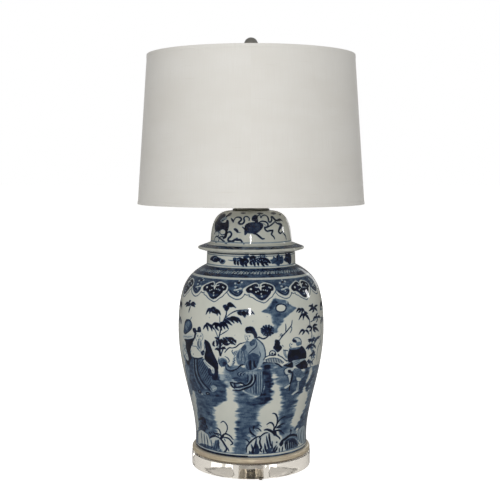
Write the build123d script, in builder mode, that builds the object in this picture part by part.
from build123d import *
import math
import os

# Ginger jar table lamp, in millimetres. +Z is up. The origin is on the table top, on the lamp's axis.
# -Y is the front, where the switch key points; the cord leaves at the back, along +Y.
# A threaded pipe runs up the axis and clamps base, plinth, jar, lid, vase cap, neck and socket
# between a nut in the base and the socket's cap. The harp stands on the saddle and carries the shade.

# ------------------------------------------------------------------ clearances
running_gap = 0.05  # shaft in its bore, all round
thread_gap = 0.1  # between two threads that are drawn as plain cylinders
slip_gap = 0.25  # loose hole over the lamp pipe, and sleeve in sleeve
near_gap = 0.3  # between two curved faces that nearly touch

# ------------------------------------------------------------------ driving dimensions: base
bumper_height = 5.0
bumper_radius = 5.5
bumper_flat_radius = 2.8
bumper_inset = 12.5  # from the disc's rim to a bumper's centre
bumper_count = 4
bumper_first_angle = -80.0

base_ledge = 0.5  # the clear disc stands this far outside the plinth
base_thickness = 28.2
base_polish = 0.8
groove_width = 9.0
groove_depth = 8.0
recess_margin = 2.5  # round the flat washer, in the nut's recess
recess_cover = 1.6  # from the bushing up inside the recess to the disc's underside

plinth_ledge = 6.4  # outside the jar's foot
plinth_thickness = 12.4
plinth_round = 5.2

# ------------------------------------------------------------------ driving dimensions: jar
jar_wall = 6.5
jar_floor = 9.0
foot_radius = 114.6
foot_bevel = 1.2
foot_height = 17.7
foot_taper = 0.8  # the waist is this much inside the foot
foot_ring_width = 14.0
foot_recess = 5.0
floor_corner = 14.0  # round corner inside, between wall and floor
belly_swell = 34.9  # the belly stands this far outside the waist
body_rise = 225.7  # from the waist to the belly
shoulder_rise = 128.0  # from the belly to the neck
neck_radius = 89.5
neck_flare = 1.0
neck_height = 27.0
mouth_bevel = 1.5
waist_fullness = 0.317  # how far each curve keeps to its own end's direction
belly_lower_fullness = 0.4
belly_upper_fullness = 0.695
shoulder_fullness = 0.686
shoulder_slope = 26.1  # degrees below level, where the shoulder meets the neck

# ------------------------------------------------------------------ driving dimensions: lid
lid_wall = 5.5
collar_clearance = 1.3
collar_depth = 12.0
flange_overhang = 18.2  # outside the jar's neck
flange_margin = 1.0  # its flat seat reaches this far outside the neck
flange_lift = 4.5  # its underside climbs this much to its edge
flange_edge = 5.0  # thickness at its rounded edge
flange_rise = 8.5  # its top climbs this much to the dome
dome_step = 0.8
dome_height = 63.3
dome_lean = 3.2  # degrees inwards, at the dome's foot
dome_fullness = 0.468
crown_fullness = 0.865
crown_margin = 3.6  # flat crown outside the vase cap

# ------------------------------------------------------------------ driving dimensions: pipe and stack
pipe_radius = 5.0
pipe_bore_radius = 3.5
pipe_tail = 3.0  # below the nut
pipe_entry = 7.5  # into the socket's cap
pipe_passage = 1.5  # loose hole round the pipe in china and wood
bushing_flange = 1.2
bushing_flange_radius = 5.6
bushing_length = 8.0
bushing_bore_radius = 2.7
nut_flats = 16.0
nut_height = 4.5
lock_washer_radius = 8.6
lock_washer_height = 1.2
lock_washer_slot = 1.4
flat_washer_radius = 23.5
flat_washer_height = 1.6

vase_cap_radius = 37.5
vase_cap_rim = 3.4
vase_cap_height = 7.4
vase_cap_wall = 1.3
vase_cap_hub_radius = 11.0

neck_tube_height = 29.5
neck_tube_wall = 2.0
neck_collar_height = 2.6
neck_collar_rim = 2.2
neck_collar_round = 0.65

# ------------------------------------------------------------------ driving dimensions: bulb
bulb_radius = 30.0
bulb_length = 108.0
bulb_glass_wall = 0.8
bulb_neck_length = 13.5  # inside its cap
bulb_cap_radius = 13.0
bulb_cap_wall = 0.4
bulb_cap_skirt = 2.7  # above its thread
glass_neck_fullness = 0.4
glass_side_fullness = 0.42
insulator_height = 4.6
bulb_contact_radius = 4.5
bulb_contact_height = 1.2
thread_pitch = 3.63
thread_depth = 0.7
thread_turns = 4
stem_height = 38.0
stem_top_radius = 2.6
filament_radius = 0.4
filament_rise = 14.0
lead_straight = 3.0
filament_reach = 9.0
filament_bend = 1.2

# ------------------------------------------------------------------ driving dimensions: socket
socket_wall = 0.8
hub_radius = 8.0
hub_height = 6.0
bowl_rise = 6.0
cap_height = 22.0
shell_lap = 5.0
shell_length = 50.0
liner_wall = 1.0
liner_lift = 2.0
body_height = 28.0
body_flat_depth = 2.2
screw_shell_rim = 2.0  # above its thread
contact_hole_radius = 8.0
contact_strip = 0.5
contact_width = 6.0
contact_reach = 6.0
contact_lift = 2.7
terminal_head_radius = 2.8
terminal_head_height = 1.8
terminal_shank_radius = 1.5
terminal_shank_length = 6.0
terminal_drop = 22.0  # below the top of the socket's body
set_screw_radius = 1.5
set_screw_length = 2.6

key_height = 8.5  # above the socket's cap
key_shaft_radius = 1.8
key_shaft_depth = 8.0  # inside the socket's body
key_hole_radius = 2.8
key_radius = 6.5
key_length = 12.0
key_stand_off = 2.6
key_grip = 8.0  # shaft inside the key
key_flutes = 12
key_flute_radius = 0.9
key_chamfer = 0.45

# ------------------------------------------------------------------ driving dimensions: harp
saddle_thickness = 1.6
saddle_disc_radius = 11.5
saddle_arm_width = 8.0
leg_offset = 28.6  # from the axis to a leg of the harp
prong_split = 0.6  # between a prong and the foot of the leg
leg_foot_height = 10.0
ferrule_bore_radius = 3.5
ferrule_wall = 1.1
ferrule_height = 13.0
ferrule_lip = 2.0
harp_wire_radius = 1.6
harp_height = 254.0
leg_straight = 36.0
bow_rise = 38.0
harp_bulb_clearance = 25.4
bow_drop = 95.0  # from the harp's top down to where it starts to draw in
crown_half_width = 24.0
leg_bend = 26.0
bow_lower_bend = 55.0
bow_upper_bend = 100.0
crown_bend = 17.0
eye_length = 18.0
eye_width = 11.0
eye_thickness = 2.6
eye_overlap = 4.5  # of the bent wire into each half of the eye
stud_shank_radius = 1.95
stud_rivet_radius = 3.4
stud_rivet_height = 1.2
stud_seat_radius = 8.5
stud_seat_height = 3.0
stud_boss_height = 1.1
post_radius = 3.17
post_height = 12.0
post_chamfer = 0.6

# ------------------------------------------------------------------ driving dimensions: shade
shade_height = 295.3
shade_bottom_radius = 228.6
shade_top_radius = 208.1
fabric_thickness = 0.7
styrene_thickness = 0.5
laminate_gap = 0.05
ring_wire_radius = 1.7
spoke_radius = 1.5
spoke_count = 3
spoke_first_angle = 90.0
spoke_drop = 18.0  # from the ring in to the bend
spoke_bend = 9.0
spider_recess = 12.7
washer_hole_radius = 5.6
washer_width = 9.0
washer_thickness = 1.5
trim_height = 6.0
trim_thickness = 0.5

# ------------------------------------------------------------------ driving dimensions: finial
finial_ball_radius = 14.0
finial_flat_radius = 5.2
finial_flange_radius = 9.0
finial_flange_height = 2.2
finial_waist_radius = 5.0
finial_cup_radius = 7.2
finial_cup_height = 2.0
finial_cup_fall = 4.0  # of the curve that runs into the cup
finial_stem_height = 22.5
tenon_radius = 2.5
tenon_height = 6.0

# ------------------------------------------------------------------ levels up the axis
base_bottom = bumper_height
base_top = base_bottom + base_thickness
plinth_top = base_top + plinth_thickness
waist_level = plinth_top + foot_height
belly_level = waist_level + body_rise
neck_level = belly_level + shoulder_rise
mouth_level = neck_level + neck_height
dome_level = mouth_level + flange_lift + flange_edge + flange_rise
lid_top = dome_level + dome_height
neck_tube_bottom = lid_top + vase_cap_height
saddle_bottom = neck_tube_bottom + neck_tube_height
saddle_top = saddle_bottom + saddle_thickness
hub_top = saddle_top + hub_height
cap_top = saddle_top + cap_height
shell_bottom = cap_top - shell_lap
shell_top = shell_bottom + shell_length
key_level = cap_top + key_height
body_bottom = hub_top + pipe_entry - hub_height + near_gap
body_top = body_bottom + body_height
bulb_bottom = body_top + contact_lift + near_gap
bulb_cap_bottom = bulb_bottom + bulb_contact_height + insulator_height
thread_bottom = bulb_cap_bottom + thread_pitch / 2
thread_top = thread_bottom + thread_turns * thread_pitch
bulb_cap_top = thread_top + bulb_cap_skirt
bulb_centre = bulb_bottom + bulb_length - bulb_radius
eye_top = saddle_top + harp_height
stud_seat_top = eye_top + stud_seat_height
washer_top = stud_seat_top + washer_thickness
shade_top = washer_top + spider_recess
shade_bottom = shade_top - shade_height
top_ring_level = shade_top - ring_wire_radius - laminate_gap
bottom_ring_level = shade_bottom + ring_wire_radius + laminate_gap
finial_ball_level = washer_top + finial_stem_height + math.sqrt(finial_ball_radius**2 - finial_flat_radius**2)

# ------------------------------------------------------------------ radii that follow from each other
plinth_radius = foot_radius + plinth_ledge
base_radius = plinth_radius + base_ledge
waist_radius = foot_radius - foot_taper
belly_radius = waist_radius + belly_swell
neck_base_radius = neck_radius + neck_flare
neck_bore = neck_radius - jar_wall
collar_radius = neck_bore - collar_clearance
dome_radius = collar_radius + dome_step
crown_radius = vase_cap_radius + crown_margin
pipe_hole = pipe_radius + pipe_passage
pipe_slip = pipe_radius + slip_gap
pipe_thread = pipe_radius + thread_gap
recess_radius = flat_washer_radius + recess_margin
recess_depth = (
    flat_washer_height + lock_washer_height + nut_height + pipe_tail + bushing_flange + recess_cover
)
screw_shell_bore = bulb_cap_radius + near_gap
screw_shell_radius = screw_shell_bore + bulb_cap_wall
liner_bore = screw_shell_radius + near_gap
liner_radius = liner_bore + liner_wall
shell_bore = liner_radius + slip_gap
shell_radius = shell_bore + socket_wall
cap_bore = shell_radius + slip_gap
cap_radius = cap_bore + socket_wall
body_radius = liner_bore - near_gap
bow_half_width = bulb_radius + harp_bulb_clearance + harp_wire_radius
leg_foot_radius = ferrule_bore_radius - running_gap
prong_height = leg_foot_height - harp_wire_radius - near_gap
ferrule_radius = ferrule_bore_radius + ferrule_wall

os.makedirs("parts", exist_ok=True)


# ================================================================== base
# Bumpers: clear domes stuck under the disc, each with a small flat to stand on
with BuildPart() as bumper:
    with BuildSketch(Plane.XZ):
        with BuildLine():
            Line((bumper_radius, base_bottom), (0, base_bottom))
            Line((0, base_bottom), (0, 0))
            Line((0, 0), (bumper_flat_radius, 0))
            TangentArc((bumper_radius, base_bottom), (bumper_flat_radius, 0), tangent=(0, -1))
        make_face()
    revolve(axis=Axis.Z)

bumper_circle = base_radius - bumper_inset
with BuildPart() as bumper_feet:
    with PolarLocations(bumper_circle, bumper_count, start_angle=bumper_first_angle):
        add(bumper.part)
bumper_feet.part.label = "bumper_feet"
export_step(bumper_feet.part, "parts/bumper_feet.step")

# Clear disc, with the nut's recess and the cord's groove cut into its underside
with BuildPart() as acrylic_base:
    with BuildSketch(Plane.XY.offset(base_bottom)):
        Circle(base_radius)
    extrude(amount=base_thickness)
    chamfer(acrylic_base.edges().filter_by(GeomType.CIRCLE), length=base_polish)
    with BuildSketch(Plane.XY.offset(base_bottom)):
        Circle(recess_radius)
    extrude(amount=recess_depth, mode=Mode.SUBTRACT)
    with BuildSketch(Plane.XY.offset(base_bottom)):
        Rectangle(groove_width, base_radius + groove_width, align=(Align.CENTER, Align.MIN))
    extrude(amount=groove_depth, mode=Mode.SUBTRACT)
    with Locations((0, 0, base_top)):
        Hole(pipe_slip)
acrylic_base.part.label = "acrylic_base"
export_step(acrylic_base.part, "parts/acrylic_base.step")

# Leafed wooden plinth with a bullnose rim
with BuildPart() as wood_plinth:
    with BuildSketch(Plane.XY.offset(base_top)):
        Circle(plinth_radius)
    extrude(amount=plinth_thickness)
    fillet(wood_plinth.edges().filter_by(GeomType.CIRCLE), radius=plinth_round)
    with Locations((0, 0, plinth_top)):
        Hole(pipe_hole)
wood_plinth.part.label = "wood_plinth"
export_step(wood_plinth.part, "parts/wood_plinth.step")


# ================================================================== jar and lid
slope = math.radians(shoulder_slope)
recess_level = plinth_top + foot_recess
floor_level = recess_level + jar_floor
# The wall is jar_wall thick square to the shoulder too, so the inside meets the neck's bore lower down
inner_neck_level = neck_level + (neck_base_radius - neck_bore) * math.tan(slope) - jar_wall / math.cos(slope)


def body_curve(inset):
    """The side of the jar from waist to belly, drawn inset millimetres inside its outer face."""
    return Bezier(
        (waist_radius - inset, waist_level),
        (waist_radius - inset, waist_level + waist_fullness * body_rise),
        (belly_radius - inset, belly_level - belly_lower_fullness * body_rise),
        (belly_radius - inset, belly_level),
    )


def shoulder_curve(inset, end_radius, end_level):
    """The side of the jar from belly to neck."""
    rise = end_level - belly_level
    run = (belly_radius - inset - end_radius) * shoulder_fullness
    return Bezier(
        (belly_radius - inset, belly_level),
        (belly_radius - inset, belly_level + belly_upper_fullness * rise),
        (end_radius + run * math.cos(slope), end_level - run * math.sin(slope)),
        (end_radius, end_level),
    )


with BuildPart() as jar_body:
    with BuildSketch(Plane.XZ):
        with BuildLine():
            Polyline(
                (pipe_hole, floor_level),
                (pipe_hole, recess_level),
                (foot_radius - foot_ring_width, recess_level),
                (foot_radius - foot_ring_width, plinth_top),
                (foot_radius - foot_bevel, plinth_top),
                (foot_radius, plinth_top + foot_bevel),
                (waist_radius, waist_level),
            )
            body_curve(0)
            shoulder_curve(0, neck_base_radius, neck_level)
            Polyline(
                (neck_base_radius, neck_level),
                (neck_radius, mouth_level - mouth_bevel),
                (neck_radius - mouth_bevel, mouth_level),
                (neck_bore, mouth_level),
                (neck_bore, inner_neck_level),
            )
            shoulder_curve(jar_wall, neck_bore, inner_neck_level)
            body_curve(jar_wall)
            Line((waist_radius - jar_wall, waist_level), (waist_radius - jar_wall, floor_level + floor_corner))
            JernArc(
                start=(waist_radius - jar_wall, floor_level + floor_corner),
                tangent=(0, -1),
                radius=floor_corner,
                arc_size=-90,
            )
            Line((waist_radius - jar_wall - floor_corner, floor_level), (pipe_hole, floor_level))
        make_face()
    revolve(axis=Axis.Z)
jar_body.part.label = "jar_body"
export_step(jar_body.part, "parts/jar_body.step")

flange_radius = neck_radius + flange_overhang
flange_round = flange_edge / 2
flange_seat = (neck_radius + flange_margin, mouth_level)
flange_centre = (flange_radius - flange_round, mouth_level + flange_lift + flange_round)
lean = math.radians(dome_lean)


def dome_curve(inset):
    """The lid's dome, from its foot up to the flat crown, drawn inset millimetres inside its outer face."""
    foot = dome_radius - inset
    top = lid_top - inset
    rise = dome_fullness * (top - dome_level)
    return Bezier(
        (foot, dome_level),
        (foot - rise * math.sin(lean), dome_level + rise * math.cos(lean)),
        (crown_radius + crown_fullness * (foot - crown_radius), top),
        (crown_radius, top),
    )


def touching(point, side):
    """Where a line from a point touches the flange's round edge, below its centre (-1) or above it (1)."""
    reach = math.dist(point, flange_centre)
    heading = math.atan2(flange_centre[1] - point[1], flange_centre[0] - point[0])
    angle = heading + side * math.asin(flange_round / reach)
    length = math.sqrt(reach**2 - flange_round**2)
    return (point[0] + length * math.cos(angle), point[1] + length * math.sin(angle))


# Domed lid: a collar drops into the neck, and a flange that thins to a round edge rests on the mouth
with BuildPart() as jar_lid:
    with BuildSketch(Plane.XZ):
        with BuildLine():
            Polyline(
                (dome_radius - lid_wall, dome_level),
                (dome_radius - lid_wall, mouth_level - collar_depth),
                (collar_radius, mouth_level - collar_depth),
                (collar_radius, mouth_level),
                flange_seat,
                touching(flange_seat, -1),
            )
            ThreePointArc(
                touching(flange_seat, -1),
                (flange_radius, flange_centre[1]),
                touching((dome_radius, dome_level), 1),
            )
            Line(touching((dome_radius, dome_level), 1), (dome_radius, dome_level))
            dome_curve(0)
            Polyline(
                (crown_radius, lid_top),
                (pipe_hole, lid_top),
                (pipe_hole, lid_top - lid_wall),
                (crown_radius, lid_top - lid_wall),
            )
            dome_curve(lid_wall)
        make_face()
    revolve(axis=Axis.Z)
jar_lid.part.label = "jar_lid"
export_step(jar_lid.part, "parts/jar_lid.step")


# ================================================================== pipe and what clamps the stack
recess_top = base_bottom + recess_depth
flat_washer_bottom = recess_top - flat_washer_height
lock_washer_bottom = flat_washer_bottom - lock_washer_height
nut_bottom = lock_washer_bottom - nut_height
pipe_bottom = nut_bottom - pipe_tail
pipe_top = saddle_top + pipe_entry

# Threaded lamp pipe, hollow for the wires
with BuildPart() as lamp_pipe:
    with BuildSketch(Plane.XY.offset(pipe_bottom)):
        Circle(pipe_radius)
        Circle(pipe_bore_radius, mode=Mode.SUBTRACT)
    extrude(amount=pipe_top - pipe_bottom)
lamp_pipe.part.label = "lamp_pipe"
export_step(lamp_pipe.part, "parts/lamp_pipe.step")

# Plastic bushing that keeps the pipe's end off the cord
with BuildPart() as pipe_bushing:
    with BuildSketch(Plane.XY.offset(pipe_bottom - bushing_flange)):
        Circle(bushing_flange_radius)
        Circle(bushing_bore_radius, mode=Mode.SUBTRACT)
    extrude(amount=bushing_flange)
    with BuildSketch(Plane.XY.offset(pipe_bottom)):
        Circle(pipe_bore_radius - running_gap)
        Circle(bushing_bore_radius, mode=Mode.SUBTRACT)
    extrude(amount=bushing_length)
pipe_bushing.part.label = "pipe_bushing"
export_step(pipe_bushing.part, "parts/pipe_bushing.step")

with BuildPart() as pipe_nut:
    with BuildSketch(Plane.XY.offset(nut_bottom)):
        RegularPolygon(radius=nut_flats / 2, side_count=6, major_radius=False)
        Circle(pipe_thread, mode=Mode.SUBTRACT)
    extrude(amount=nut_height)
pipe_nut.part.label = "pipe_nut"
export_step(pipe_nut.part, "parts/pipe_nut.step")

# Split lock washer: its slot leaves the ring open at one side
with BuildPart() as lock_washer:
    with BuildSketch(Plane.XY.offset(lock_washer_bottom)):
        Circle(lock_washer_radius)
        Circle(pipe_slip, mode=Mode.SUBTRACT)
        Rectangle(
            lock_washer_radius + lock_washer_slot,
            lock_washer_slot,
            align=(Align.MIN, Align.CENTER),
            mode=Mode.SUBTRACT,
        )
    extrude(amount=lock_washer_height)
lock_washer.part.label = "lock_washer"
export_step(lock_washer.part, "parts/lock_washer.step")

with BuildPart() as base_washer:
    with BuildSketch(Plane.XY.offset(flat_washer_bottom)):
        Circle(flat_washer_radius)
        Circle(pipe_slip, mode=Mode.SUBTRACT)
    extrude(amount=flat_washer_height)
base_washer.part.label = "base_washer"
export_step(base_washer.part, "parts/base_washer.step")

# Spun vase cap: a low dish, open underneath, whose rim covers the lid's hole
cap_ceiling = neck_tube_bottom - vase_cap_wall
with BuildPart() as vase_cap:
    with BuildSketch(Plane.XZ):
        with BuildLine():
            Polyline(
                (vase_cap_radius - vase_cap_wall, lid_top),
                (vase_cap_radius, lid_top),
                (vase_cap_radius, lid_top + vase_cap_rim),
            )
            Bezier(
                (vase_cap_radius, lid_top + vase_cap_rim),
                ((vase_cap_radius + vase_cap_hub_radius) / 2, neck_tube_bottom),
                (vase_cap_hub_radius, neck_tube_bottom),
            )
            Polyline(
                (vase_cap_hub_radius, neck_tube_bottom),
                (pipe_slip, neck_tube_bottom),
                (pipe_slip, cap_ceiling),
                (vase_cap_hub_radius, cap_ceiling),
            )
            Bezier(
                (vase_cap_hub_radius, cap_ceiling),
                ((vase_cap_radius + vase_cap_hub_radius) / 2, cap_ceiling),
                (vase_cap_radius - vase_cap_wall, lid_top + vase_cap_rim - vase_cap_wall),
            )
            Line(
                (vase_cap_radius - vase_cap_wall, lid_top + vase_cap_rim - vase_cap_wall),
                (vase_cap_radius - vase_cap_wall, lid_top),
            )
        make_face()
    revolve(axis=Axis.Z)
vase_cap.part.label = "vase_cap"
export_step(vase_cap.part, "parts/vase_cap.step")

# Rubber gasket that fills the dish round the pipe, between the lid and the vase cap
with BuildPart() as cap_gasket:
    with BuildSketch(Plane.XY.offset(lid_top)):
        Circle(vase_cap_hub_radius - near_gap)
        Circle(pipe_slip, mode=Mode.SUBTRACT)
    extrude(amount=cap_ceiling - lid_top)
cap_gasket.part.label = "cap_gasket"
export_step(cap_gasket.part, "parts/cap_gasket.step")

# Neck: a spacer tube with a turned collar at each end
neck_tube_radius = pipe_slip + neck_tube_wall
with BuildPart() as neck_tube:
    with BuildSketch(Plane.XY.offset(neck_tube_bottom)):
        Circle(neck_tube_radius)
    extrude(amount=neck_tube_height)
    with BuildSketch(Plane.XY.offset(neck_tube_bottom), Plane.XY.offset(saddle_bottom - neck_collar_height)):
        Circle(neck_tube_radius + neck_collar_rim)
    extrude(amount=neck_collar_height)
    fillet(
        neck_tube.edges()
        .filter_by(GeomType.CIRCLE)
        .filter_by(lambda e: abs(e.radius - neck_tube_radius - neck_collar_rim) < running_gap),
        radius=neck_collar_round,
    )
    with Locations((0, 0, saddle_bottom)):
        Hole(pipe_slip)
neck_tube.part.label = "neck_tube"
export_step(neck_tube.part, "parts/neck_tube.step")


# ================================================================== socket
# Lower cap: a hub screwed on the pipe, and a bowl
with BuildPart() as socket_cap:
    with BuildSketch(Plane.XZ):
        with BuildLine():
            Polyline(
                (pipe_thread, hub_top),
                (pipe_thread, saddle_top),
                (hub_radius, saddle_top),
                (hub_radius, hub_top - socket_wall),
            )
            Bezier(
                (hub_radius, hub_top - socket_wall),
                (cap_radius, hub_top - socket_wall),
                (cap_radius, hub_top + bowl_rise),
            )
            Polyline(
                (cap_radius, hub_top + bowl_rise),
                (cap_radius, cap_top),
                (cap_bore, cap_top),
                (cap_bore, hub_top + bowl_rise),
            )
            Bezier(
                (cap_bore, hub_top + bowl_rise),
                (cap_bore, hub_top),
                (hub_radius, hub_top),
            )
            Line((hub_radius, hub_top), (pipe_thread, hub_top))
        make_face()
    revolve(axis=Axis.Z)
    with Locations(Plane(origin=(0, hub_radius, saddle_top + hub_height / 2), z_dir=(0, 1, 0))):
        Hole(set_screw_radius, depth=hub_radius - pipe_radius)
socket_cap.part.label = "socket_cap"
export_step(socket_cap.part, "parts/socket_cap.step")

with BuildPart() as cap_set_screw:
    with BuildSketch(Plane(origin=(0, hub_radius, saddle_top + hub_height / 2), z_dir=(0, -1, 0))):
        Circle(set_screw_radius - running_gap)
    extrude(amount=set_screw_length)
cap_set_screw.part.label = "cap_set_screw"
export_step(cap_set_screw.part, "parts/cap_set_screw.step")

# Outer shell: its lower end slips into the cap
with BuildPart() as socket_shell:
    with BuildSketch(Plane.XY.offset(shell_bottom)):
        Circle(shell_radius)
        Circle(shell_bore, mode=Mode.SUBTRACT)
    extrude(amount=shell_length)
    with Locations(Plane(origin=(0, -shell_radius, key_level), z_dir=(0, -1, 0))):
        Hole(key_hole_radius, depth=shell_radius)
socket_shell.part.label = "socket_shell"
export_step(socket_shell.part, "parts/socket_shell.step")

# Cardboard insulating sleeve inside the shell
with BuildPart() as socket_liner:
    with BuildSketch(Plane.XY.offset(shell_bottom + liner_lift)):
        Circle(liner_radius)
        Circle(liner_bore, mode=Mode.SUBTRACT)
    extrude(amount=shell_length - liner_lift)
    with Locations(Plane(origin=(0, -liner_radius, key_level), z_dir=(0, -1, 0))):
        Hole(key_hole_radius, depth=liner_radius)
socket_liner.part.label = "socket_liner"
export_step(socket_liner.part, "parts/socket_liner.step")

# Moulded body that holds the switch, the terminals and the screw shell
terminal_level = body_top - terminal_drop
terminal_face = body_radius - body_flat_depth
flat_half_height = terminal_head_radius + near_gap
with BuildPart() as socket_body:
    with BuildSketch(Plane.XY.offset(body_bottom)):
        Circle(body_radius)
    extrude(amount=body_height)
    with BuildSketch(Plane.XY.offset(terminal_level - flat_half_height)):
        with Locations((body_radius, 0), (-body_radius, 0)):
            Rectangle(2 * body_flat_depth, 2 * body_radius)
    extrude(amount=2 * flat_half_height, mode=Mode.SUBTRACT)
    for side in (1, -1):
        with Locations(Plane(origin=(side * terminal_face, 0, terminal_level), z_dir=(side, 0, 0))):
            Hole(terminal_shank_radius, depth=terminal_shank_length + near_gap)
    with Locations(Plane(origin=(0, -body_radius, key_level), z_dir=(0, -1, 0))):
        Hole(key_shaft_radius + running_gap, depth=key_shaft_depth + near_gap)
socket_body.part.label = "socket_body"
export_step(socket_body.part, "parts/socket_body.step")

# Two binding screws, one on each side of the body
with BuildPart() as terminal_screws:
    for side in (1, -1):
        with BuildSketch(Plane(origin=(side * terminal_face, 0, terminal_level), z_dir=(side, 0, 0))):
            Circle(terminal_head_radius)
        extrude(amount=terminal_head_height)
        with BuildSketch(Plane(origin=(side * terminal_face, 0, terminal_level), z_dir=(-side, 0, 0))):
            Circle(terminal_shank_radius - running_gap)
        extrude(amount=terminal_shank_length)
terminal_screws.part.label = "terminal_screws"
export_step(terminal_screws.part, "parts/terminal_screws.step")


def thread_wave(radius, first_level):
    """A run of rounded thread crests and roots, upwards from first_level, as rings round the axis."""
    half_pitch = thread_pitch / 2
    for half_turn in range(2 * thread_turns):
        low = first_level + half_turn * half_pitch
        swell = thread_depth / 2 * (1 if half_turn % 2 else -1)
        ThreePointArc((radius, low), (radius + swell, low + half_pitch / 2), (radius, low + half_pitch))


crest = thread_depth / 2
screw_shell_top = thread_top + screw_shell_rim

# Threaded shell that the bulb screws into: a cup with a hole for the centre contact
with BuildPart() as screw_shell:
    with BuildSketch(Plane.XZ):
        with BuildLine():
            Polyline(
                (screw_shell_bore - crest, thread_bottom),
                (screw_shell_bore - crest, body_top + bulb_cap_wall),
                (contact_hole_radius, body_top + bulb_cap_wall),
                (contact_hole_radius, body_top),
                (screw_shell_radius - crest, body_top),
                (screw_shell_radius - crest, thread_bottom),
            )
            thread_wave(screw_shell_radius - crest, thread_bottom)
            Polyline(
                (screw_shell_radius - crest, thread_top),
                (screw_shell_radius - crest, screw_shell_top),
                (screw_shell_bore - crest, screw_shell_top),
                (screw_shell_bore - crest, thread_top),
            )
            thread_wave(screw_shell_bore - crest, thread_bottom)
        make_face()
    revolve(axis=Axis.Z)
screw_shell.part.label = "screw_shell"
export_step(screw_shell.part, "parts/screw_shell.step")

# Centre contact: a folded strip whose tongue springs up under the bulb
strip_level = body_top + contact_strip / 2
with BuildPart() as centre_contact:
    with BuildSketch(Plane.XZ):
        with BuildLine():
            Polyline(
                (-contact_reach, strip_level),
                (contact_reach, strip_level),
                (contact_reach, strip_level + contact_strip),
                (0, body_top + contact_lift - contact_strip / 2),
            )
        trace(line_width=contact_strip)
    extrude(amount=contact_width / 2, both=True)
    with BuildSketch(Plane.XY.offset(body_top)):
        Rectangle(2 * contact_hole_radius, contact_width)
    extrude(amount=contact_lift, mode=Mode.INTERSECT)
centre_contact.part.label = "centre_contact"
export_step(centre_contact.part, "parts/centre_contact.step")

# Switch: a shaft out of the body's front, and the fluted key on it
key_inner = shell_radius + key_stand_off
shaft_inner = body_radius - key_shaft_depth
with BuildPart() as switch_shaft:
    with BuildSketch(Plane(origin=(0, -shaft_inner, key_level), z_dir=(0, -1, 0))):
        Circle(key_shaft_radius)
    extrude(amount=key_inner + key_grip - shaft_inner)
switch_shaft.part.label = "switch_shaft"
export_step(switch_shaft.part, "parts/switch_shaft.step")

with BuildPart() as switch_key:
    with BuildSketch(Plane(origin=(0, -key_inner, key_level), z_dir=(0, -1, 0))):
        Circle(key_radius)
        with PolarLocations(key_radius, key_flutes):
            Circle(key_flute_radius, mode=Mode.SUBTRACT)
    extrude(amount=key_length)
    with BuildSketch(Plane(origin=(0, -key_inner, key_level), z_dir=(0, -1, 0))):
        Circle(key_shaft_radius + running_gap)
    extrude(amount=key_grip, mode=Mode.SUBTRACT)
    chamfer(switch_key.faces().sort_by(Axis.Y)[0].edges(), length=key_chamfer)
switch_key.part.label = "switch_key"
export_step(switch_key.part, "parts/switch_key.step")


# ================================================================== bulb
with BuildPart() as bulb_contact:
    with BuildSketch(Plane.XY.offset(bulb_bottom)):
        Circle(bulb_contact_radius)
    extrude(amount=bulb_contact_height)
    fillet(bulb_contact.edges().sort_by(Axis.Z)[0], radius=bulb_contact_height / 2)
bulb_contact.part.label = "bulb_contact"
export_step(bulb_contact.part, "parts/bulb_contact.step")

bulb_cap_bore = bulb_cap_radius - bulb_cap_wall
with BuildPart() as bulb_insulator:
    with BuildSketch(Plane.XY.offset(bulb_bottom + bulb_contact_height)):
        Circle(bulb_contact_radius)
    with BuildSketch(Plane.XY.offset(bulb_cap_bottom)):
        Circle(bulb_cap_bore - crest)
    loft()
bulb_insulator.part.label = "bulb_insulator"
export_step(bulb_insulator.part, "parts/bulb_insulator.step")

# Threaded cap of the bulb, in step with the screw shell's thread
with BuildPart() as bulb_base:
    with BuildSketch(Plane.XZ):
        with BuildLine():
            Polyline(
                (bulb_cap_bore - crest, thread_bottom),
                (bulb_cap_bore - crest, bulb_cap_bottom),
                (bulb_cap_radius - crest, bulb_cap_bottom),
                (bulb_cap_radius - crest, thread_bottom),
            )
            thread_wave(bulb_cap_radius - crest, thread_bottom)
            Polyline(
                (bulb_cap_radius - crest, thread_top),
                (bulb_cap_radius - crest, bulb_cap_top),
                (bulb_cap_bore - crest, bulb_cap_top),
                (bulb_cap_bore - crest, thread_top),
            )
            thread_wave(bulb_cap_bore - crest, thread_bottom)
        make_face()
    revolve(axis=Axis.Z)
bulb_base.part.label = "bulb_base"
export_step(bulb_base.part, "parts/bulb_base.step")

glass_neck = bulb_cap_bore - thread_depth - slip_gap
glass_bottom = bulb_cap_top - bulb_neck_length
bulb_rise = bulb_centre - bulb_cap_top


def envelope(inset):
    """The glass from its neck in the cap up to the pole, drawn inset millimetres inside its outer face."""
    neck = glass_neck - inset
    side = bulb_radius - inset
    Line((neck, glass_bottom), (neck, bulb_cap_top))
    Bezier(
        (neck, bulb_cap_top),
        (neck, bulb_cap_top + glass_neck_fullness * bulb_rise),
        (side, bulb_centre - glass_side_fullness * bulb_rise),
        (side, bulb_centre),
    )
    JernArc(start=(side, bulb_centre), tangent=(0, 1), radius=side, arc_size=90)


with BuildPart() as bulb_glass:
    with BuildSketch(Plane.XZ):
        with BuildLine():
            envelope(0)
            envelope(bulb_glass_wall)
            Line((glass_neck - bulb_glass_wall, glass_bottom), (glass_neck, glass_bottom))
            Line((0, bulb_centre + bulb_radius - bulb_glass_wall), (0, bulb_centre + bulb_radius))
        make_face()
    revolve(axis=Axis.Z)
bulb_glass.part.label = "bulb_glass"
export_step(bulb_glass.part, "parts/bulb_glass.step")

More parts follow.
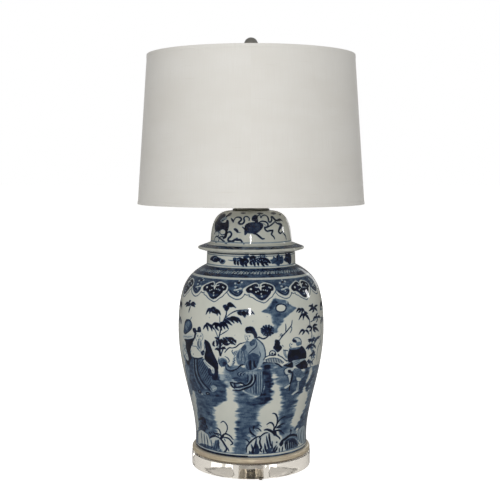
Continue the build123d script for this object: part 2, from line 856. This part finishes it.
# Glass stem: a flare that closes the neck, drawn up to a thin post
flare_radius = glass_neck - bulb_glass_wall - slip_gap
stem_top = glass_bottom + stem_height
with BuildPart() as bulb_stem:
    with BuildSketch(Plane.XZ):
        with BuildLine():
            Polyline(
                (0, stem_top),
                (0, glass_bottom),
                (flare_radius, glass_bottom),
                (flare_radius, glass_bottom + bulb_glass_wall),
            )
            Bezier(
                (flare_radius, glass_bottom + bulb_glass_wall),
                (stem_top_radius, glass_bottom + bulb_glass_wall),
                (stem_top_radius, stem_top),
            )
            Line((stem_top_radius, stem_top), (0, stem_top))
        make_face()
    revolve(axis=Axis.Z)
bulb_stem.part.label = "bulb_stem"
export_step(bulb_stem.part, "parts/bulb_stem.step")

lead_offset = stem_top_radius / 2
with BuildPart() as bulb_filament:
    with BuildLine(Plane.XZ):
        FilletPolyline(
            (-lead_offset, stem_top),
            (-lead_offset, stem_top + lead_straight),
            (-filament_reach, stem_top + filament_rise),
            (filament_reach, stem_top + filament_rise),
            (lead_offset, stem_top + lead_straight),
            (lead_offset, stem_top),
            radius=filament_bend,
        )
    with BuildSketch(Plane.XY.offset(stem_top)):
        with Locations((-lead_offset, 0)):
            Circle(filament_radius)
    sweep()
bulb_filament.part.label = "bulb_filament"
export_step(bulb_filament.part, "parts/bulb_filament.step")


# ================================================================== harp
# Saddle: a strap on the neck, with an upright half-round prong at each end
with BuildPart() as harp_saddle:
    with BuildSketch(Plane.XY.offset(saddle_bottom)):
        Circle(saddle_disc_radius)
        Rectangle(2 * leg_offset, saddle_arm_width)
        with Locations((leg_offset, 0), (-leg_offset, 0)):
            Circle(ferrule_radius)
        Circle(pipe_slip, mode=Mode.SUBTRACT)
    extrude(amount=saddle_thickness)
    with BuildSketch(Plane.XY.offset(saddle_top)):
        with Locations((leg_offset, 0)):
            Circle(leg_foot_radius)
        with Locations((leg_offset + prong_split / 2, 0)):
            Rectangle(ferrule_radius, 2 * ferrule_radius, align=(Align.MIN, Align.CENTER), mode=Mode.INTERSECT)
    extrude(amount=prong_height)
    mirror(about=Plane.YZ)
harp_saddle.part.label = "harp_saddle"
export_step(harp_saddle.part, "parts/harp_saddle.step")

# Harp: one bent wire with a half-round foot inside each ferrule and a flattened eye at the top
eye_level = eye_top - harp_wire_radius - thread_gap
foot_top = saddle_top + leg_foot_height
with BuildPart() as harp_wire:
    with BuildLine(Plane.XZ):
        FilletPolyline(
            (leg_offset, foot_top - harp_wire_radius),
            (leg_offset, saddle_top + leg_straight),
            (bow_half_width, saddle_top + leg_straight + bow_rise),
            (bow_half_width, eye_level - bow_drop),
            (crown_half_width, eye_level),
            (eye_length / 2 - eye_overlap, eye_level),
            radius=[leg_bend, bow_lower_bend, bow_upper_bend, crown_bend],
        )
    with BuildSketch(Plane.XY.offset(foot_top - harp_wire_radius)):
        with Locations((leg_offset, 0)):
            Circle(harp_wire_radius)
    sweep()
    with BuildSketch(Plane.XY.offset(saddle_top)):
        with Locations((leg_offset, 0)):
            Circle(leg_foot_radius)
        with Locations((leg_offset - prong_split / 2, 0)):
            Rectangle(ferrule_radius, 2 * ferrule_radius, align=(Align.MAX, Align.CENTER), mode=Mode.INTERSECT)
    extrude(amount=leg_foot_height)
    mirror(about=Plane.YZ)
    with BuildSketch(Plane.XY.offset(eye_top - eye_thickness)):
        SlotOverall(eye_length, eye_width)
    extrude(amount=eye_thickness)
    with Locations((0, 0, eye_top)):
        Hole(stud_shank_radius + running_gap)
harp_wire.part.label = "harp_wire"
export_step(harp_wire.part, "parts/harp_wire.step")


def build_ferrule(side):
    """A sleeve that locks one leg to its prong: wide bore over both, and a lip round the wire."""
    with BuildPart() as ferrule:
        with BuildSketch(Plane.XY.offset(saddle_top)):
            with Locations((side * leg_offset, 0)):
                Circle(ferrule_radius)
        extrude(amount=ferrule_height)
        fillet(ferrule.faces().sort_by(Axis.Z)[-1].edges(), radius=ferrule_wall)
        with BuildSketch(Plane.XY.offset(saddle_top)):
            with Locations((side * leg_offset, 0)):
                Circle(ferrule_bore_radius)
        extrude(amount=ferrule_height - ferrule_lip, mode=Mode.SUBTRACT)
        with BuildSketch(Plane.XY.offset(saddle_top)):
            with Locations((side * leg_offset, 0)):
                Circle(harp_wire_radius + thread_gap)
        extrude(amount=ferrule_height, mode=Mode.SUBTRACT)
    return ferrule


ferrule_left = build_ferrule(-1)
ferrule_left.part.label = "ferrule_left"
export_step(ferrule_left.part, "parts/ferrule_left.step")

ferrule_right = build_ferrule(1)
ferrule_right.part.label = "ferrule_right"
export_step(ferrule_right.part, "parts/ferrule_right.step")

# Swivel stud: riveted through the eye, with a seat for the shade and a threaded post for the finial
eye_bottom = eye_top - eye_thickness
rivet_top = eye_bottom - running_gap
boss_top = stud_seat_top + stud_boss_height
with BuildPart() as harp_stud:
    with BuildSketch(Plane.XY.offset(rivet_top - stud_rivet_height)):
        Circle(stud_rivet_radius)
    extrude(amount=stud_rivet_height)
    with BuildSketch(Plane.XY.offset(rivet_top)):
        Circle(stud_shank_radius)
    extrude(amount=eye_top - rivet_top)
    with BuildSketch(Plane.XY.offset(eye_top)):
        Circle(stud_seat_radius)
    extrude(amount=stud_seat_height)
    with BuildSketch(Plane.XY.offset(stud_seat_top)):
        Circle(washer_hole_radius - thread_gap)
    extrude(amount=stud_boss_height)
    with BuildSketch(Plane.XY.offset(boss_top)):
        Circle(post_radius)
    extrude(amount=post_height)
    chamfer(harp_stud.edges().sort_by(Axis.Z)[-1], length=post_chamfer)
harp_stud.part.label = "harp_stud"
export_step(harp_stud.part, "parts/harp_stud.step")


# ================================================================== shade
def shade_radius(level):
    """The radius of the shade's outer face at a level."""
    share = (level - shade_bottom) / shade_height
    return shade_bottom_radius + share * (shade_top_radius - shade_bottom_radius)


taper = math.atan2(shade_bottom_radius - shade_top_radius, shade_height)
fabric_depth = fabric_thickness / math.cos(taper)
liner_depth = fabric_depth + laminate_gap
liner_face = liner_depth + styrene_thickness / math.cos(taper)
ring_depth = liner_face + slip_gap + ring_wire_radius / math.cos(taper)
top_ring_radius = shade_radius(top_ring_level) - ring_depth
bottom_ring_radius = shade_radius(bottom_ring_level) - ring_depth


def cone_wall(low, high, outer_depth, inner_depth):
    """Outline of a slice of the shade's wall between two depths inside its outer face."""
    Polyline(
        (shade_radius(low) - outer_depth, low),
        (shade_radius(high) - outer_depth, high),
        (shade_radius(high) - inner_depth, high),
        (shade_radius(low) - inner_depth, low),
        close=True,
    )


# Spider: a washer on three spokes, which drop from the top ring, all welded together
washer_bottom = stud_seat_top
spoke_level = washer_bottom + washer_thickness / 2
washer_radius = washer_hole_radius + washer_width
with BuildPart() as spoke:
    with BuildLine(Plane.XZ):
        FilletPolyline(
            (washer_radius - 2 * spoke_radius, spoke_level),
            (top_ring_radius - spoke_drop, spoke_level),
            (top_ring_radius, top_ring_level),
            radius=spoke_bend,
        )
    with BuildSketch(Plane.YZ.offset(washer_radius - 2 * spoke_radius)):
        with Locations((0, spoke_level)):
            Circle(spoke_radius)
    sweep()

with BuildPart() as shade_spider:
    with BuildSketch(Plane.XZ):
        with Locations((top_ring_radius, top_ring_level)):
            Circle(ring_wire_radius)
    revolve(axis=Axis.Z)
    with BuildSketch(Plane.XY.offset(washer_bottom)):
        Circle(washer_radius)
        Circle(washer_hole_radius, mode=Mode.SUBTRACT)
    extrude(amount=washer_thickness)
    with PolarLocations(0, spoke_count, start_angle=spoke_first_angle):
        add(spoke.part)
shade_spider.part.label = "shade_spider"
export_step(shade_spider.part, "parts/shade_spider.step")

with BuildPart() as shade_bottom_ring:
    with BuildSketch(Plane.XZ):
        with Locations((bottom_ring_radius, bottom_ring_level)):
            Circle(ring_wire_radius)
    revolve(axis=Axis.Z)
shade_bottom_ring.part.label = "shade_bottom_ring"
export_step(shade_bottom_ring.part, "parts/shade_bottom_ring.step")

# Styrene liner and the silk laminated to its outside
with BuildPart() as shade_liner:
    with BuildSketch(Plane.XZ):
        with BuildLine():
            cone_wall(shade_bottom, shade_top, liner_depth, liner_face)
        make_face()
    revolve(axis=Axis.Z)
shade_liner.part.label = "shade_liner"
export_step(shade_liner.part, "parts/shade_liner.step")

with BuildPart() as shade_fabric:
    with BuildSketch(Plane.XZ):
        with BuildLine():
            cone_wall(shade_bottom, shade_top, 0, fabric_depth)
        make_face()
    revolve(axis=Axis.Z)
shade_fabric.part.label = "shade_fabric"
export_step(shade_fabric.part, "parts/shade_fabric.step")


def build_trim(edge, inwards):
    """A folded fabric edge: outside the shade, over its rim and down to the ring's wire inside."""
    outer = -laminate_gap - trim_thickness
    inner = ring_depth + ring_wire_radius + slip_gap
    rim = edge + inwards * -laminate_gap
    over = rim - inwards * trim_thickness
    hem = edge + inwards * trim_height
    tuck = edge + inwards * ring_wire_radius / 2
    with BuildPart() as trim:
        with BuildSketch(Plane.XZ):
            with BuildLine():
                Polyline(
                    (shade_radius(over) - outer, over),
                    (shade_radius(hem) - outer, hem),
                    (shade_radius(hem) + laminate_gap, hem),
                    (shade_radius(rim) + laminate_gap, rim),
                    (shade_radius(rim) - inner, rim),
                    (shade_radius(tuck) - inner, tuck),
                    (shade_radius(tuck) - inner - trim_thickness, tuck),
                    (shade_radius(over) - inner - trim_thickness, over),
                    close=True,
                )
            make_face()
        revolve(axis=Axis.Z)
    return trim


shade_top_trim = build_trim(shade_top, -1)
shade_top_trim.part.label = "shade_top_trim"
export_step(shade_top_trim.part, "parts/shade_top_trim.step")

shade_bottom_trim = build_trim(shade_bottom, 1)
shade_bottom_trim.part.label = "shade_bottom_trim"
export_step(shade_bottom_trim.part, "parts/shade_bottom_trim.step")


# ================================================================== finial
finial_top_of_stem = washer_top + finial_stem_height
cup_bottom = finial_top_of_stem - finial_cup_height
flange_level = washer_top + finial_flange_height
post_hole_depth = boss_top + post_height - washer_top + near_gap

# Turned stem: a flange on the spider's washer, a waist, and a cup under the ball
with BuildPart() as finial_base:
    with BuildSketch(Plane.XZ):
        with BuildLine():
            Polyline(
                (0, finial_top_of_stem),
                (0, washer_top),
                (finial_flange_radius, washer_top),
                (finial_flange_radius, flange_level),
            )
            Bezier(
                (finial_flange_radius, flange_level),
                (finial_waist_radius, flange_level),
                (finial_waist_radius, cup_bottom - finial_cup_fall),
                (finial_cup_radius, cup_bottom),
            )
            Polyline(
                (finial_cup_radius, cup_bottom),
                (finial_flat_radius, finial_top_of_stem),
                (0, finial_top_of_stem),
            )
        make_face()
    revolve(axis=Axis.Z)
    with BuildSketch(Plane.XY.offset(finial_top_of_stem)):
        Circle(tenon_radius)
    extrude(amount=tenon_height)
    with BuildSketch(Plane.XY.offset(washer_top)):
        Circle(washer_hole_radius)
    extrude(amount=boss_top - washer_top + near_gap, mode=Mode.SUBTRACT)
    with BuildSketch(Plane.XY.offset(washer_top)):
        Circle(post_radius + thread_gap)
    extrude(amount=post_hole_depth, mode=Mode.SUBTRACT)
finial_base.part.label = "finial_base"
export_step(finial_base.part, "parts/finial_base.step")

# Ball with a small flat on the cup and a blind bore for the tenon
with BuildPart() as finial_ball:
    with Locations((0, 0, finial_ball_level)):
        Sphere(finial_ball_radius)
    split(bisect_by=Plane.XY.offset(finial_top_of_stem), keep=Keep.TOP)
    with BuildSketch(Plane.XY.offset(finial_top_of_stem)):
        Circle(tenon_radius + running_gap)
    extrude(amount=tenon_height + near_gap, mode=Mode.SUBTRACT)
finial_ball.part.label = "finial_ball"
export_step(finial_ball.part, "parts/finial_ball.step")
